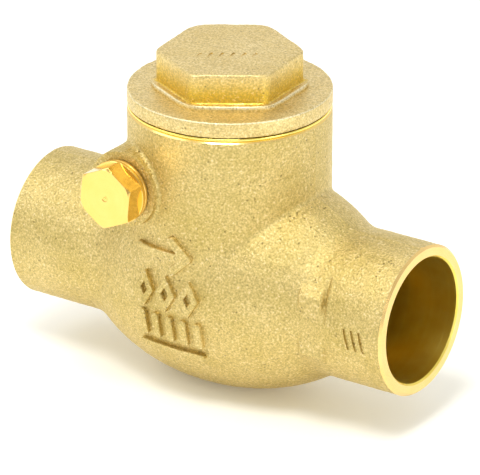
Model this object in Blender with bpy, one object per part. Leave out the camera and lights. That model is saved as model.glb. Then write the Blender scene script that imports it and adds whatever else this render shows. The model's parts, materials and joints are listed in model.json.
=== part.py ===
"""Swing check valve for 3/4 inch copper tube: cast body, screwed cap, hinged disc inside.

+X runs along the pipe with the flow, +Z up through the cap, and the hinge pin's plug faces -Y.
The origin is the centre of the small flat foot under the belly.
"""
import math

import bmesh
import bpy
from mathutils import Matrix, Vector

MM = 0.001

# Driving dimensions, in millimetres. Heights along the neck are above the pipe axis.
PIPE_HEIGHT = 20.4           # pipe axis above the foot
TUBE_BORE_R = 11.15          # cup for 3/4 in copper tube, 22.2 mm outside
TUBE_R = 13.32
CUP_DEPTH = 19.0
INLET_END = -38.3
OUTLET_END = 39.9
BELLY_HALF = Vector((30.4, 17.87, 20.74))
BELLY_X = 1.4
BELLY_SLOPE = 0.031          # the belly climbs slightly towards the outlet
BAND_END_X = 27.0            # outer faces of the two wrench bands, either side of BAND_SHIFT
BAND_SHIFT = 1.0
BAND_WIDTH = 5.0
BAND_STEP = 0.15             # flats of the band stand this proud of the pipe
BAND_SWELL = 0.62            # where the belly has shrunk to the pipe
WALL = 2.5
NECK_R = 17.7
NECK_TOP = 30.7
NECK_BORE_R = 14.3
HINGE_X = -9.56
HINGE_HEIGHT = 18.93
SEAT_LEAN = math.radians(30)
SEAT_X = -6.54
SEAT_HEIGHT = 0.5
PORT_R = 9.5
DISC_R = 11.0
PIN_R = 1.5
PLUG_SHANK_R = 3.4

# Working gaps between pieces
GAP = 0.3
SEAL_GAP = 0.15
RUNNING_GAP = 0.08

# Seat and cup details
SEAT_LIP = 0.9
SEAT_LIP_R = 10.9
STOP_R = 9.9                 # bore of the shoulder the tube stops against
MOUTH_CHAMFER = 0.3
STOP_WIDTH = 2.5             # thickness of the shoulder, along the pipe

# Hinge boss and plug, measured along Y from the middle of the valve
BOSS_FACE = 18.6
BOSS_R = 6.8
BOSS_ROOT_R = 7.6
PLUG_HOLE_END = 13.2
PIN_HOLE_END = 13.5
WASHER_THICK = 0.6
WASHER_R = 5.9
COLLAR_THICK = 0.8
COLLAR_R = 5.6
PLUG_HEX = 10.0
PLUG_HEX_HEIGHT = 3.45
PLUG_HEX_CORNER_R = 5.77
PLUG_HEX_FACE_R = 5.3
PLUG_HEX_TURN = math.radians(24.2)

# Cap
GASKET_THICK = 0.4
FLANGE_THICK = 2.8
FLANGE_EDGE = 0.35
PLINTH_REACH = 1.1           # the low step under the hexagon, beyond its flats
PLINTH_HEIGHT = 0.55
PLINTH_CORNER_R = 13.5
CAP_HEX = 22.4
CAP_HEX_CORNER_R = 12.6
CAP_HEX_FACE_R = 11.3
CAP_HEX_TURN = math.radians(-26.2)
CAP_TOP = 41.0
SPIGOT_DEPTH = 7.2
SPIGOT_BORE_R = 11.0
CAP_HOLLOW_END = 36.0        # the spigot's hollow runs up inside the hexagon to this height
CAP_HOLLOW_TIP_R = 7.5

# Disc stack, measured along the seat's normal from the face of the seat wall
DISC_FACE = SEAT_LIP + GAP
SOFT_DISC_THICK = 1.9
HOLDER_RIM = 1.6
HOLDER_RIM_WALL = 0.7
HOLDER_BACK = 5.0
HOLDER_PLATE = 1.6
STUD_R = 1.6
STUD_END = -2.6
CLAMP_WASHER_THICK = 0.8
CLAMP_WASHER_R = 4.6
SEAT_NUT_HEX = 5.5
SEAT_NUT_HEIGHT = 2.0
STEM_R = 2.5
STEM_END = 13.2
HANGER_THICK = 3.0
HANGER_EYE_R = 5.2
HANGER_WASHER_THICK = 0.8
HANGER_WASHER_R = 4.7
HANGER_NUT_HEX = 8.0
HANGER_NUT_HEIGHT = 3.0
HINGE_BARREL_R = 3.2
HINGE_BARREL_HALF = 5.0

# Steps round a circle, and the reach of a cutting box
FINE = 64
MEDIUM = 48
SMALL = 32
FAR = 60

SEAT_NORMAL = Vector((math.cos(SEAT_LEAN), 0, math.sin(SEAT_LEAN)))
SEAT_DOWN = Vector((math.sin(SEAT_LEAN), 0, -math.cos(SEAT_LEAN)))


def world(x, y, height):
    """A point in metres from x, y and a height above the pipe axis in millimetres."""
    return Vector((x, y, height + PIPE_HEIGHT)) * MM


HANGER_FACE = HOLDER_BACK + GAP
SEAT_CENTRE = world(SEAT_X, 0, SEAT_HEIGHT)
HINGE = world(HINGE_X, 0, HINGE_HEIGHT)
HINGE_OFFSET = (HINGE - SEAT_CENTRE).dot(SEAT_NORMAL) / MM
HINGE_REACH = (SEAT_CENTRE - HINGE).dot(SEAT_DOWN) / MM


def clear_scene():
    for obj in list(bpy.data.objects):
        bpy.data.objects.remove(obj)


def make_material(name, colour, roughness, metallic):
    material = bpy.data.materials.new(name)
    material.use_nodes = True
    shader = material.node_tree.nodes["Principled BSDF"]
    shader.inputs["Base Color"].default_value = (*colour, 1.0)
    shader.inputs["Roughness"].default_value = roughness
    shader.inputs["Metallic"].default_value = metallic
    return material


def add_object(name, bm, axis=Vector((0, 0, 1)), origin=Vector((0, 0, 0)), turn=0.0):
    """Make an object from a mesh in millimetres, its local Z along axis and turned about it."""
    bmesh.ops.recalc_face_normals(bm, faces=bm.faces)
    mesh = bpy.data.meshes.new(name)
    bm.to_mesh(mesh)
    bm.free()
    obj = bpy.data.objects.new(name, mesh)
    bpy.context.scene.collection.objects.link(obj)
    obj.matrix_world = (Matrix.Translation(origin)
                        @ Vector((0, 0, 1)).rotation_difference(axis).to_matrix().to_4x4()
                        @ Matrix.Rotation(turn, 4, "Z") @ Matrix.Scale(MM, 4))
    return obj


def revolved(outline, segments=MEDIUM):
    """A turned mesh from (radius, height) points; a ring's outline closes on itself."""
    bm = bmesh.new()
    rings = []
    for radius, height in outline:
        if radius == 0:
            rings.append([bm.verts.new((0, 0, height))])
            continue
        angles = [math.tau * step / segments for step in range(segments)]
        rings.append([bm.verts.new((radius * math.cos(a), radius * math.sin(a), height)) for a in angles])
    pairs = list(zip(rings, rings[1:]))
    if outline[0][0] > 0:
        pairs.append((rings[-1], rings[0]))
    for lower, upper in pairs:
        for step in range(segments):
            following = (step + 1) % segments
            corners = [lower[step % len(lower)], lower[following % len(lower)],
                       upper[following % len(upper)], upper[step % len(upper)]]
            bm.faces.new(list(dict.fromkeys(corners)))
    return bm


def disc(radius, bottom, top, segments=MEDIUM):
    return revolved([(0, bottom), (radius, bottom), (radius, top), (0, top)], segments)


def washer(inner, outer, bottom, top, segments=MEDIUM):
    return revolved([(inner, bottom), (outer, bottom), (outer, top), (inner, top)], segments)


def prism(outline, bottom, top):
    bm = bmesh.new()
    lower = [bm.verts.new((x, y, bottom)) for x, y in outline]
    upper = [bm.verts.new((x, y, top)) for x, y in outline]
    bm.faces.new(lower)
    bm.faces.new(upper)
    for step in range(len(outline)):
        following = (step + 1) % len(outline)
        bm.faces.new((lower[step], lower[following], upper[following], upper[step]))
    return bm


def polygon(sides, across_flats, turn=0.0):
    """Corners of a regular polygon given its distance across flats."""
    radius = across_flats / 2 / math.cos(math.pi / sides)
    angles = [turn + math.tau * step / sides for step in range(sides)]
    return [(radius * math.cos(a), radius * math.sin(a)) for a in angles]


def box(low, high):
    corners = [(low[0], low[1]), (high[0], low[1]), (high[0], high[1]), (low[0], high[1])]
    return prism(corners, low[2], high[2])


def as_tool(obj):
    obj.hide_render = True
    obj.display_type = "WIRE"
    return obj


def combine(obj, tool, operation):
    modifier = obj.modifiers.new(f"{operation} {tool.name}", "BOOLEAN")
    modifier.object = as_tool(tool)
    modifier.operation = operation
    modifier.solver = "EXACT"


def finish(obj, material, sharp_degrees=30):
    if obj.modifiers:
        obj.modifiers.new("Weld", "WELD").merge_threshold = 0.0001
    obj.data.materials.append(material)
    obj.data.shade_smooth()
    obj.data.set_sharp_from_angle(angle=math.radians(sharp_degrees))


def smooth_larger(first, second, blend):
    """The larger of two lengths, rounded over where they are nearly equal."""
    nearness = max(blend - abs(first - second), 0) / blend
    return max(first, second) + nearness * nearness * blend / 4


def belly_scale(x, half_length):
    return math.sqrt(max(1 - ((x - BELLY_X) / half_length) ** 2, 0))


def octagon_radius(angle):
    """Distance from the axis to the wrench band's octagon, which stands on a flat."""
    side = math.pi / 4
    from_flat = (angle + side / 2) % side - side / 2
    return (TUBE_R + BAND_STEP) / math.cos(from_flat)


def shell_ring(bm, x, banded):
    """One upright cross-section: the belly's ellipse, never smaller than the pipe or its wrench band."""
    blend = 1.5
    swell = belly_scale(x, BELLY_HALF.x)
    half_y = smooth_larger(TUBE_R, BELLY_HALF.y * swell, blend)
    half_z = smooth_larger(TUBE_R, BELLY_HALF.z * swell, blend)
    if swell < BAND_SWELL:
        half_y = half_z = TUBE_R
    lift = BELLY_SLOPE * (x - BELLY_X) * max(swell - BAND_SWELL, 0) / (1 - BAND_SWELL)
    ring = []
    for step in range(FINE):
        angle = math.tau * step / FINE
        y = half_y * math.cos(angle)
        z = lift + half_z * math.sin(angle)
        grow = max(octagon_radius(math.atan2(z, y)) / math.hypot(y, z), 1) if banded else 1
        ring.append(bm.verts.new((x, y * grow, z * grow)))
    return ring


def outer_shell():
    """The pipe, wrench bands and belly as one row of cross-sections along the pipe."""
    inlet_band, outlet_band = -BAND_END_X + BAND_SHIFT, BAND_END_X + BAND_SHIFT
    middle = (inlet_band + outlet_band) / 2
    reach = (outlet_band - inlet_band) / 2
    curve = [middle + reach * math.sin(math.pi / 2 * step / 12) for step in range(-12, 13)]
    bm = bmesh.new()
    rings = [shell_ring(bm, INLET_END, False), shell_ring(bm, inlet_band, False)]
    rings += [shell_ring(bm, x, abs(x - middle) > reach - BAND_WIDTH) for x in curve]
    rings += [shell_ring(bm, outlet_band, False), shell_ring(bm, OUTLET_END, False)]
    bm.faces.new(rings[0])
    bm.faces.new(rings[-1])
    for left, right in zip(rings, rings[1:]):
        for step in range(FINE):
            following = (step + 1) % FINE
            bm.faces.new((left[step], left[following], right[following], right[step]))
    return add_object("shell", bm, origin=world(0, 0, 0))


def chamber(name, from_wall, to_wall, from_x, to_x):
    """The hollow inside the belly between two distances from the seat wall and two places along the pipe."""
    tilts = [math.pi * step / 24 for step in range(1, 24)]
    bm = revolved([(0, -1), *((math.sin(tilt), -math.cos(tilt)) for tilt in tilts), (0, 1)], FINE)
    half = BELLY_HALF - Vector((WALL, WALL, WALL))
    for vert in bm.verts:
        z, y, x = vert.co
        vert.co = (half.x * x, half.y * y, half.z * z + BELLY_SLOPE * half.x * x)
    hollow = add_object(name, bm, origin=world(BELLY_X, 0, 0))
    slab = box((-FAR, -FAR, from_wall), (FAR, FAR, to_wall))
    combine(hollow, add_object(name + "_slab", slab, SEAT_NORMAL, SEAT_CENTRE), "INTERSECT")
    ends = box((from_x, -FAR, -FAR), (to_x, FAR, FAR))
    combine(hollow, add_object(name + "_ends", ends, origin=world(0, 0, 0)), "INTERSECT")
    return hollow


def solder_cup(end, inward):
    """The counterbored cup for the tube, from its chamfered mouth at end to the stop shoulder."""
    outline = [(0, -1), (TUBE_BORE_R + MOUTH_CHAMFER + 1, -1), (TUBE_BORE_R, MOUTH_CHAMFER),
               (TUBE_BORE_R, CUP_DEPTH), (STOP_R, CUP_DEPTH), (STOP_R, CUP_DEPTH + STOP_WIDTH + 1),
               (0, CUP_DEPTH + STOP_WIDTH + 1)]
    return add_object(f"cup_{'inlet' if inward > 0 else 'outlet'}", revolved(outline, FINE),
                      Vector((inward, 0, 0)), world(end, 0, 0))


def hinge_boss(side):
    """The cast boss around the hinge axis: a flat face that flares where it meets the neck."""
    inside, root, waist = 2, 13.5, 16.6
    edge = 0.5
    outline = [(0, inside), (BOSS_ROOT_R - 1, inside), (BOSS_ROOT_R, root), (BOSS_R + 0.3, waist),
               (BOSS_R, BOSS_FACE - edge), (BOSS_R - edge, BOSS_FACE), (0, BOSS_FACE)]
    return add_object(f"boss_{'plug' if side < 0 else 'blind'}", revolved(outline),
                      Vector((0, side, 0)), HINGE)


def valve_body(material):
    body = outer_shell()
    body.name = "valve_body"
    edge = 0.3
    neck = [(0, -3), (NECK_R - 1.2, -3), (NECK_R, 7), (NECK_R, NECK_TOP - edge),
            (NECK_R - edge, NECK_TOP), (0, NECK_TOP)]
    combine(body, add_object("neck", revolved(neck, FINE), origin=world(0, 0, 0)), "UNION")
    combine(body, hinge_boss(-1), "UNION")
    combine(body, hinge_boss(1), "UNION")

    # Outlet side: chamber and neck bore, both in front of the seat wall, less the seat's lip
    room = chamber("outlet_chamber", 0, FAR, SEAT_X - FAR, OUTLET_END - CUP_DEPTH - STOP_WIDTH)
    bore_outline = [(0, 0), (NECK_BORE_R - 1, 0), (NECK_BORE_R, 9), (NECK_BORE_R, NECK_TOP + 1),
                    (0, NECK_TOP + 1)]
    bore = add_object("neck_bore", revolved(bore_outline, FINE), origin=world(0, 0, 0))
    front = add_object("front", box((-FAR, -FAR, 0), (FAR, FAR, FAR)), SEAT_NORMAL, SEAT_CENTRE)
    combine(bore, front, "INTERSECT")
    combine(room, bore, "UNION")
    lip = add_object("seat_lip", washer(PORT_R - 1, SEAT_LIP_R, -1, SEAT_LIP, FINE),
                     SEAT_NORMAL, SEAT_CENTRE)
    combine(room, lip, "DIFFERENCE")
    combine(body, room, "DIFFERENCE")

    # Inlet side, then the port through the seat wall
    inlet_room = chamber("inlet_chamber", -FAR, -WALL, INLET_END + CUP_DEPTH + STOP_WIDTH, SEAT_X + FAR)
    combine(body, inlet_room, "DIFFERENCE")
    port = add_object("port", disc(PORT_R, -WALL - 1.5, SEAT_LIP + 1, FINE), SEAT_NORMAL, SEAT_CENTRE)
    combine(body, port, "DIFFERENCE")
    combine(body, solder_cup(INLET_END, 1), "DIFFERENCE")
    combine(body, solder_cup(OUTLET_END, -1), "DIFFERENCE")

    # Hinge pin bore, open to the plug's side and blind on the other
    pin_bore_r = PIN_R + RUNNING_GAP
    hole = [(0, -PIN_HOLE_END), (pin_bore_r, -PIN_HOLE_END), (pin_bore_r, PLUG_HOLE_END),
            (PLUG_SHANK_R + GAP, PLUG_HOLE_END), (PLUG_SHANK_R + GAP, BOSS_FACE + 1), (0, BOSS_FACE + 1)]
    combine(body, add_object("hinge_hole", revolved(hole), Vector((0, -1, 0)), HINGE), "DIFFERENCE")
    foot = add_object("foot_cut", box((-FAR, -FAR, -FAR), (FAR, FAR, 0)))
    combine(body, foot, "DIFFERENCE")
    finish(body, material)
    return body


def hex_head(name, across_flats, bottom, top, corner_r, face_r, turn, origin, axis=Vector((0, 0, 1))):
    """A hexagon with its corners turned down to corner_r and its top edge turned off at 30 degrees."""
    head = add_object(name, prism(polygon(6, across_flats, turn), bottom, top), axis, origin)
    drop = (corner_r - face_r) * math.tan(math.radians(30))
    limits = [(0, bottom - 1), (corner_r, bottom - 1), (corner_r, top - drop), (face_r, top), (0, top + 0.01)]
    combine(head, add_object(name + "_turned", revolved(limits, FINE), axis, origin), "INTERSECT")
    return head


def bonnet_cap(material):
    """Flange, low plinth, hexagon and hollow threaded spigot, all one casting."""
    flange_bottom = NECK_TOP + GASKET_THICK + 2 * SEAL_GAP
    flange_top = flange_bottom + FLANGE_THICK
    plinth_top = flange_top + PLINTH_HEIGHT
    overlap = 0.3
    spigot_r = NECK_BORE_R - GAP
    spigot_end = NECK_TOP - SPIGOT_DEPTH
    lead = 0.8
    outline = [(0, flange_top), (NECK_R - FLANGE_EDGE, flange_top), (NECK_R, flange_top - FLANGE_EDGE),
               (NECK_R, flange_bottom + FLANGE_EDGE), (NECK_R - FLANGE_EDGE, flange_bottom),
               (spigot_r, flange_bottom), (spigot_r, spigot_end + lead), (spigot_r - lead, spigot_end),
               (SPIGOT_BORE_R, spigot_end), (SPIGOT_BORE_R, flange_bottom)]
    cap = add_object("bonnet_cap", revolved([*outline, (SPIGOT_BORE_R - 1, flange_bottom + 1),
                                             (0, flange_bottom + 1)], FINE), origin=world(0, 0, 0))
    plinth = hex_head("cap_plinth", CAP_HEX + 2 * PLINTH_REACH, flange_top - overlap, plinth_top,
                      PLINTH_CORNER_R, PLINTH_CORNER_R - 0.5, CAP_HEX_TURN, world(0, 0, 0))
    combine(cap, plinth, "UNION")
    head = hex_head("cap_hexagon", CAP_HEX, plinth_top - overlap, CAP_TOP, CAP_HEX_CORNER_R,
                    CAP_HEX_FACE_R, CAP_HEX_TURN, world(0, 0, 0))
    combine(cap, head, "UNION")
    hollow = [(0, flange_bottom), (SPIGOT_BORE_R - 1.5, flange_bottom), (CAP_HOLLOW_TIP_R, CAP_HOLLOW_END),
              (0, CAP_HOLLOW_END)]
    combine(cap, add_object("cap_hollow", revolved(hollow, FINE), origin=world(0, 0, 0)), "DIFFERENCE")
    finish(cap, material)
    return cap


def bonnet_gasket(material):
    bottom = NECK_TOP + SEAL_GAP
    ring = add_object("bonnet_gasket", washer(NECK_BORE_R + GAP, NECK_R - 0.45, bottom,
                                              bottom + GASKET_THICK, FINE), origin=world(0, 0, 0))
    finish(ring, material)
    return ring


def plug_washer(material):
    bottom = BOSS_FACE + SEAL_GAP
    ring = washer(PLUG_SHANK_R + SEAL_GAP, WASHER_R, bottom, bottom + WASHER_THICK)
    ring = add_object("plug_washer", ring, Vector((0, -1, 0)), HINGE)
    finish(ring, material)
    return ring


def hinge_pin_plug(material):
    collar_bottom = BOSS_FACE + WASHER_THICK + 2 * SEAL_GAP
    collar_top = collar_bottom + COLLAR_THICK
    shank_end = PLUG_HOLE_END + GAP
    lead, edge = 0.5, 0.2
    outline = [(0, shank_end), (PLUG_SHANK_R - lead, shank_end), (PLUG_SHANK_R, shank_end + lead),
               (PLUG_SHANK_R, collar_bottom), (COLLAR_R - edge, collar_bottom),
               (COLLAR_R, collar_bottom + edge), (COLLAR_R, collar_top - edge),
               (COLLAR_R - edge, collar_top), (0, collar_top)]
    plug = add_object("hinge_pin_plug", revolved(outline), Vector((0, -1, 0)), HINGE)
    head = hex_head("plug_hexagon", PLUG_HEX, collar_top - edge, collar_top + PLUG_HEX_HEIGHT,
                    PLUG_HEX_CORNER_R, PLUG_HEX_FACE_R, PLUG_HEX_TURN, HINGE, Vector((0, -1, 0)))
    combine(plug, head, "UNION")
    finish(plug, material)
    return plug


def hinge_pin(material):
    near = PLUG_HOLE_END
    far = PIN_HOLE_END - GAP
    edge = 0.3
    outline = [(0, -far), (PIN_R - edge, -far), (PIN_R, edge - far), (PIN_R, near - edge),
               (PIN_R - edge, near), (0, near)]
    pin = add_object("hinge_pin", revolved(outline, SMALL), Vector((0, -1, 0)), HINGE)
    finish(pin, material)
    return pin


def on_seat_axis(name, bm, turn=0.0):
    return add_object(name, bm, SEAT_NORMAL, SEAT_CENTRE, turn)


def disc_hanger(material):
    """Barrel on the pin, tapered arm, and eye around the holder's stem."""
    across = Vector((0, 1, 0))
    barrel = add_object("disc_hanger", disc(HINGE_BARREL_R, -HINGE_BARREL_HALF, HINGE_BARREL_HALF, SMALL),
                        across, HINGE)
    bottom, top = HANGER_FACE, HANGER_FACE + HANGER_THICK
    root, root_half, eye_half = -0.2, 3.6, 4.6
    outline = [(root, root_half), (root, -root_half), (HINGE_REACH, -eye_half), (HINGE_REACH, eye_half)]
    arm = prism(outline, bottom - HINGE_OFFSET, top - HINGE_OFFSET)
    combine(barrel, add_object("hanger_arm", arm, SEAT_NORMAL, HINGE), "UNION")
    combine(barrel, on_seat_axis("hanger_eye", disc(HANGER_EYE_R, bottom, top)), "UNION")
    stem_hole = disc(STEM_R + RUNNING_GAP, bottom - 1, top + 1, SMALL)
    combine(barrel, on_seat_axis("stem_hole", stem_hole), "DIFFERENCE")
    pin_hole = disc(PIN_R + RUNNING_GAP, -HINGE_BARREL_HALF - 1, HINGE_BARREL_HALF + 1, SMALL)
    combine(barrel, add_object("pin_hole", pin_hole, across, HINGE), "DIFFERENCE")
    finish(barrel, material)
    return barrel


def disc_holder(material):
    """Shallow cup for the soft disc, with a stem behind it and a short stud through it."""
    recess = HOLDER_BACK - HOLDER_PLATE
    edge, lead = 0.6, 0.4
    outline = [(0, STUD_END), (STUD_R, STUD_END), (STUD_R, recess), (DISC_R - HOLDER_RIM_WALL, recess),
               (DISC_R - HOLDER_RIM_WALL, HOLDER_RIM), (DISC_R, HOLDER_RIM), (DISC_R, HOLDER_BACK - edge),
               (DISC_R - edge, HOLDER_BACK), (STEM_R, HOLDER_BACK), (STEM_R, STEM_END - lead),
               (STEM_R - lead, STEM_END), (0, STEM_END)]
    holder = on_seat_axis("disc_holder", revolved(outline))
    finish(holder, material)
    return holder


def seat_disc(material):
    ring = washer(STUD_R + GAP, DISC_R - HOLDER_RIM_WALL - GAP, DISC_FACE, DISC_FACE + SOFT_DISC_THICK)
    ring = on_seat_axis("seat_disc", ring)
    finish(ring, material)
    return ring


def disc_clamp_washer(material):
    top = DISC_FACE - SEAL_GAP
    ring = washer(STUD_R + GAP, CLAMP_WASHER_R, top - CLAMP_WASHER_THICK, top, SMALL)
    ring = on_seat_axis("seat_disc_washer", ring)
    finish(ring, material)
    return ring


def nut(name, across_flats, bottom, top, hole_r, turn):
    """A hexagon nut with both faces turned off at the corners."""
    body = on_seat_axis(name, prism(polygon(6, across_flats, turn), bottom, top))
    corner_r = across_flats / 2 / math.cos(math.pi / 6) + 0.1
    flat_r = corner_r - 0.7
    drop = (corner_r - flat_r) * math.tan(math.radians(30))
    outline = [(0, bottom - 0.01), (flat_r, bottom), (corner_r, bottom + drop), (corner_r, top - drop),
               (flat_r, top), (0, top + 0.01)]
    combine(body, on_seat_axis(name + "_turned", revolved(outline)), "INTERSECT")
    combine(body, on_seat_axis(name + "_hole", disc(hole_r, bottom - 1, top + 1, SMALL)), "DIFFERENCE")
    return body


def seat_disc_nut(material):
    top = DISC_FACE - 2 * SEAL_GAP - CLAMP_WASHER_THICK
    obj = nut("seat_disc_nut", SEAT_NUT_HEX, top - SEAT_NUT_HEIGHT, top, STUD_R + RUNNING_GAP, 0.2)
    finish(obj, material)
    return obj


def hanger_washer(material):
    bottom = HANGER_FACE + HANGER_THICK + GAP
    ring = washer(STEM_R + SEAL_GAP, HANGER_WASHER_R, bottom, bottom + HANGER_WASHER_THICK, SMALL)
    ring = on_seat_axis("hanger_washer", ring)
    finish(ring, material)
    return ring


def hanger_nut(material):
    bottom = HANGER_FACE + HANGER_THICK + GAP + HANGER_WASHER_THICK + SEAL_GAP
    obj = nut("hanger_nut", HANGER_NUT_HEX, bottom, bottom + HANGER_NUT_HEIGHT, STEM_R + RUNNING_GAP, 0.5)
    finish(obj, material)
    return obj


def main():
    clear_scene()
    cast = make_material("cast_brass", (0.70, 0.50, 0.22), 0.42, 1.0)
    valve_body(cast)
    bonnet_cap(make_material("cap_brass", (0.72, 0.54, 0.26), 0.38, 1.0))
    bonnet_gasket(make_material("gasket_brass", (0.86, 0.64, 0.22), 0.2, 1.0))
    hinge_pin_plug(make_material("polished_brass", (0.83, 0.62, 0.20), 0.18, 1.0))
    plug_washer(make_material("washer_brass", (0.80, 0.58, 0.22), 0.3, 1.0))
    hinge_pin(make_material("pin_steel", (0.62, 0.62, 0.60), 0.25, 1.0))
    disc_hanger(make_material("hanger_bronze", (0.55, 0.36, 0.17), 0.45, 1.0))
    disc_holder(make_material("turned_brass", (0.74, 0.55, 0.24), 0.25, 1.0))
    seat_disc(make_material("seat_rubber", (0.03, 0.03, 0.035), 0.7, 0.0))
    disc_clamp_washer(make_material("clamp_washer_brass", (0.76, 0.57, 0.25), 0.3, 1.0))
    seat_disc_nut(make_material("clamp_nut_brass", (0.78, 0.58, 0.25), 0.28, 1.0))
    hanger_washer(make_material("hanger_washer_brass", (0.75, 0.56, 0.25), 0.3, 1.0))
    hanger_nut(make_material("hanger_nut_brass", (0.78, 0.58, 0.25), 0.28, 1.0))


main()
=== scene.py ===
import json
import math

import bmesh
import bpy
import numpy as np
from mathutils import Matrix, Vector


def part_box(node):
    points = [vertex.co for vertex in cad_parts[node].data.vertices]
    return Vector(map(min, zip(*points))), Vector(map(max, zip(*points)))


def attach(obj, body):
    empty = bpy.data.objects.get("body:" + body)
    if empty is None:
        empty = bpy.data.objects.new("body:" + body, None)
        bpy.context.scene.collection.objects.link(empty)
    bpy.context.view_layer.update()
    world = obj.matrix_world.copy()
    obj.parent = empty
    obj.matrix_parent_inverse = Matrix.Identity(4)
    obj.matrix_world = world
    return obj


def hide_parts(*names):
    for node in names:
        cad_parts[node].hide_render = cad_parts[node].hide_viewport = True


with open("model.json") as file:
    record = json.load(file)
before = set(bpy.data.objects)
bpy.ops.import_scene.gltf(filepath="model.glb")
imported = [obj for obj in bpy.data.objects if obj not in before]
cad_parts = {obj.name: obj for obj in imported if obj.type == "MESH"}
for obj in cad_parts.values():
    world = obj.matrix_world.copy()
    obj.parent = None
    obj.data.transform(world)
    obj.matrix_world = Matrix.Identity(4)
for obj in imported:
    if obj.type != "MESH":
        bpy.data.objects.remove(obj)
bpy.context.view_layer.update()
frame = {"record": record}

MM = 0.001
RECORD = frame["record"]
JOINTS = {joint["name"]: joint for joint in RECORD["behaviour"]["joints"]}
OPENINGS = {opening["name"]: opening for opening in RECORD["physics"]["openings"]}


def in_mm(point):
    return Vector(point) / MM


def node_box(node):
    low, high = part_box(node)
    return in_mm(low), in_mm(high)


# Places read from the frame
BODY_LOW, BODY_HIGH = node_box("valve_body")
CAP_LOW, CAP_HIGH = node_box("bonnet_cap")
SEAL_LOW, SEAL_HIGH = node_box("bonnet_gasket")
PLUG_LOW, PLUG_HIGH = node_box("hinge_pin_plug")
WASHER_LOW, WASHER_HIGH = node_box("plug_washer")
PIN_LOW, PIN_HIGH = node_box("hinge_pin")
CUP_LOW, CUP_HIGH = OPENINGS["outlet_cup"]["box_m"]
ORIGIN = Vector((0, 0, (CUP_LOW[2] + CUP_HIGH[2]) / 2 / MM))
HINGE = in_mm(JOINTS["disc_swing"]["pos_m"]) - ORIGIN
SEAT = in_mm(JOINTS["disc_spin"]["pos_m"]) - ORIGIN
SEAT_NORMAL = Vector(JOINTS["disc_spin"]["axis"]).normalized()
SEAT_DOWN = Vector((SEAT_NORMAL.z, 0, -SEAT_NORMAL.x))
INLET_END = BODY_LOW.x
OUTLET_END = BODY_HIGH.x
NECK_TOP = BODY_HIGH.z - ORIGIN.z
FOOT = BODY_LOW.z - ORIGIN.z
BOSS_FACE = -BODY_LOW.y
SEAL_BOTTOM = SEAL_LOW.z - ORIGIN.z
SEAL_TOP = SEAL_HIGH.z - ORIGIN.z
FLANGE_R = CAP_HIGH.x
CAP_TOP = CAP_HIGH.z - ORIGIN.z
SPIGOT_END = CAP_LOW.z - ORIGIN.z
SIDE = Vector((0, -1, 0))
ALONG_PIPE = Vector((1, 0, 0))
UP = Vector((0, 0, 1))
NO_OFFSET = (0, 0, 0)

# Casting
TUBE_R = 13.32
TUBE_BORE_R = 11.15
CUP_DEPTH = 19.0
STOP_R = 9.9
BELLY_HALF = Vector((30.4, 17.87, 20.74))
BELLY_UPPER_HALF = 19.9
BELLY_X = 1.6
BELLY_SLOPE = 0.04
WALL = 2.5
NECK_R = 17.7
NECK_BORE_R = 14.3
BAND_INSIDE = 22.0
BAND_OUTSIDE = 27.0
BAND_SHIFT = 1.0
BAND_FLAT = TUBE_R - 0.2
LEFT_BAND_FLAT = TUBE_R - 0.9
BAND_REACH = 10.0
BOSS_R = 6.8
PORT_R = 9.5
SEAT_LIP = 0.9
SEAT_LIP_R = 10.9
PARTING_RIDGE = 0.12
MARK_HEIGHT = 0.8
LATHE_SPARE = 0.6            # left on each face of the rough casting for the lathe

# Gaps and hinge
SEAL_GAP = 0.15
RUNNING_GAP = 0.08
THREAD_GAP = 0.3
PIN_R = 1.5
PIN_HOLE_END = 13.5
PLUG_HOLE_END = 13.2
PLUG_SHANK_R = 3.4

# Cap
FLANGE_BOTTOM = SEAL_TOP + SEAL_GAP
FLANGE_THICK = 2.8
PLINTH_REACH = 1.25
PLINTH_HEIGHT = 0.95
PLINTH_CORNER_R = 13.5
FLANGE_TOP = FLANGE_BOTTOM + FLANGE_THICK
PLINTH_TOP = FLANGE_TOP + PLINTH_HEIGHT
CAP_HEX = 22.4
CAP_HEX_CORNER_R = 12.6
CAP_HEX_BEVEL_R = 11.4
CAP_DOME = 0.002             # fall of the top per square millimetre from its middle
CAP_LEAN = 0.035             # rise of the top per millimetre towards the back
CAP_HEX_TURN = math.radians(-26.2)
HEX_FACING = CAP_HEX_TURN + math.radians(60)
SPIGOT_R = NECK_BORE_R - THREAD_GAP
SPIGOT_BORE_R = 11.0
CAP_FACE = FLANGE_BOTTOM + 0.06     # the flange's underside once it is faced
CAP_HOLLOW_END = 36.0
CAP_HOLLOW_TIP_R = 7.5
CAP_PITCH = 1.5

# Plug
COLLAR_R = 5.6
COLLAR_THICK = 0.8
PLUG_HEX = 10.0
PLUG_HEX_CORNER_R = 5.77
PLUG_HEX_FACE_R = 5.3
PLUG_HEX_TURN = math.radians(24.2)
PLUG_PITCH = 1.0
PLUG_RING_R = 5.5

# Disc stack, measured along the seat's normal
DISC_R = 11.0
DISC_FACE = 1.2
SOFT_DISC_THICK = 1.9
HOLDER_RIM = 1.6
HOLDER_RIM_WALL = 0.7
HOLDER_BACK = 5.0
HOLDER_RECESS = 3.4
STUD_R = 1.6
STUD_END = -2.6
CLAMP_WASHER_THICK = 0.8
CLAMP_WASHER_R = 4.6
SEAT_NUT_HEX = 5.5
SEAT_NUT_HEIGHT = 2.0
STEM_R = 2.5
STEM_END = 13.2
HANGER_FACE = 5.3
HANGER_THICK = 3.0
HANGER_EYE_R = 5.2
HANGER_WASHER_THICK = 0.8
HANGER_WASHER_R = 4.7
HANGER_NUT_HEX = 8.0
HANGER_NUT_HEIGHT = 3.0
HINGE_BARREL_R = 3.2
HINGE_BARREL_HALF = 5.0
SMALL_PITCH = 0.7

CELL = 0.36
ROUND = 192


# -------------------- meshes

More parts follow.
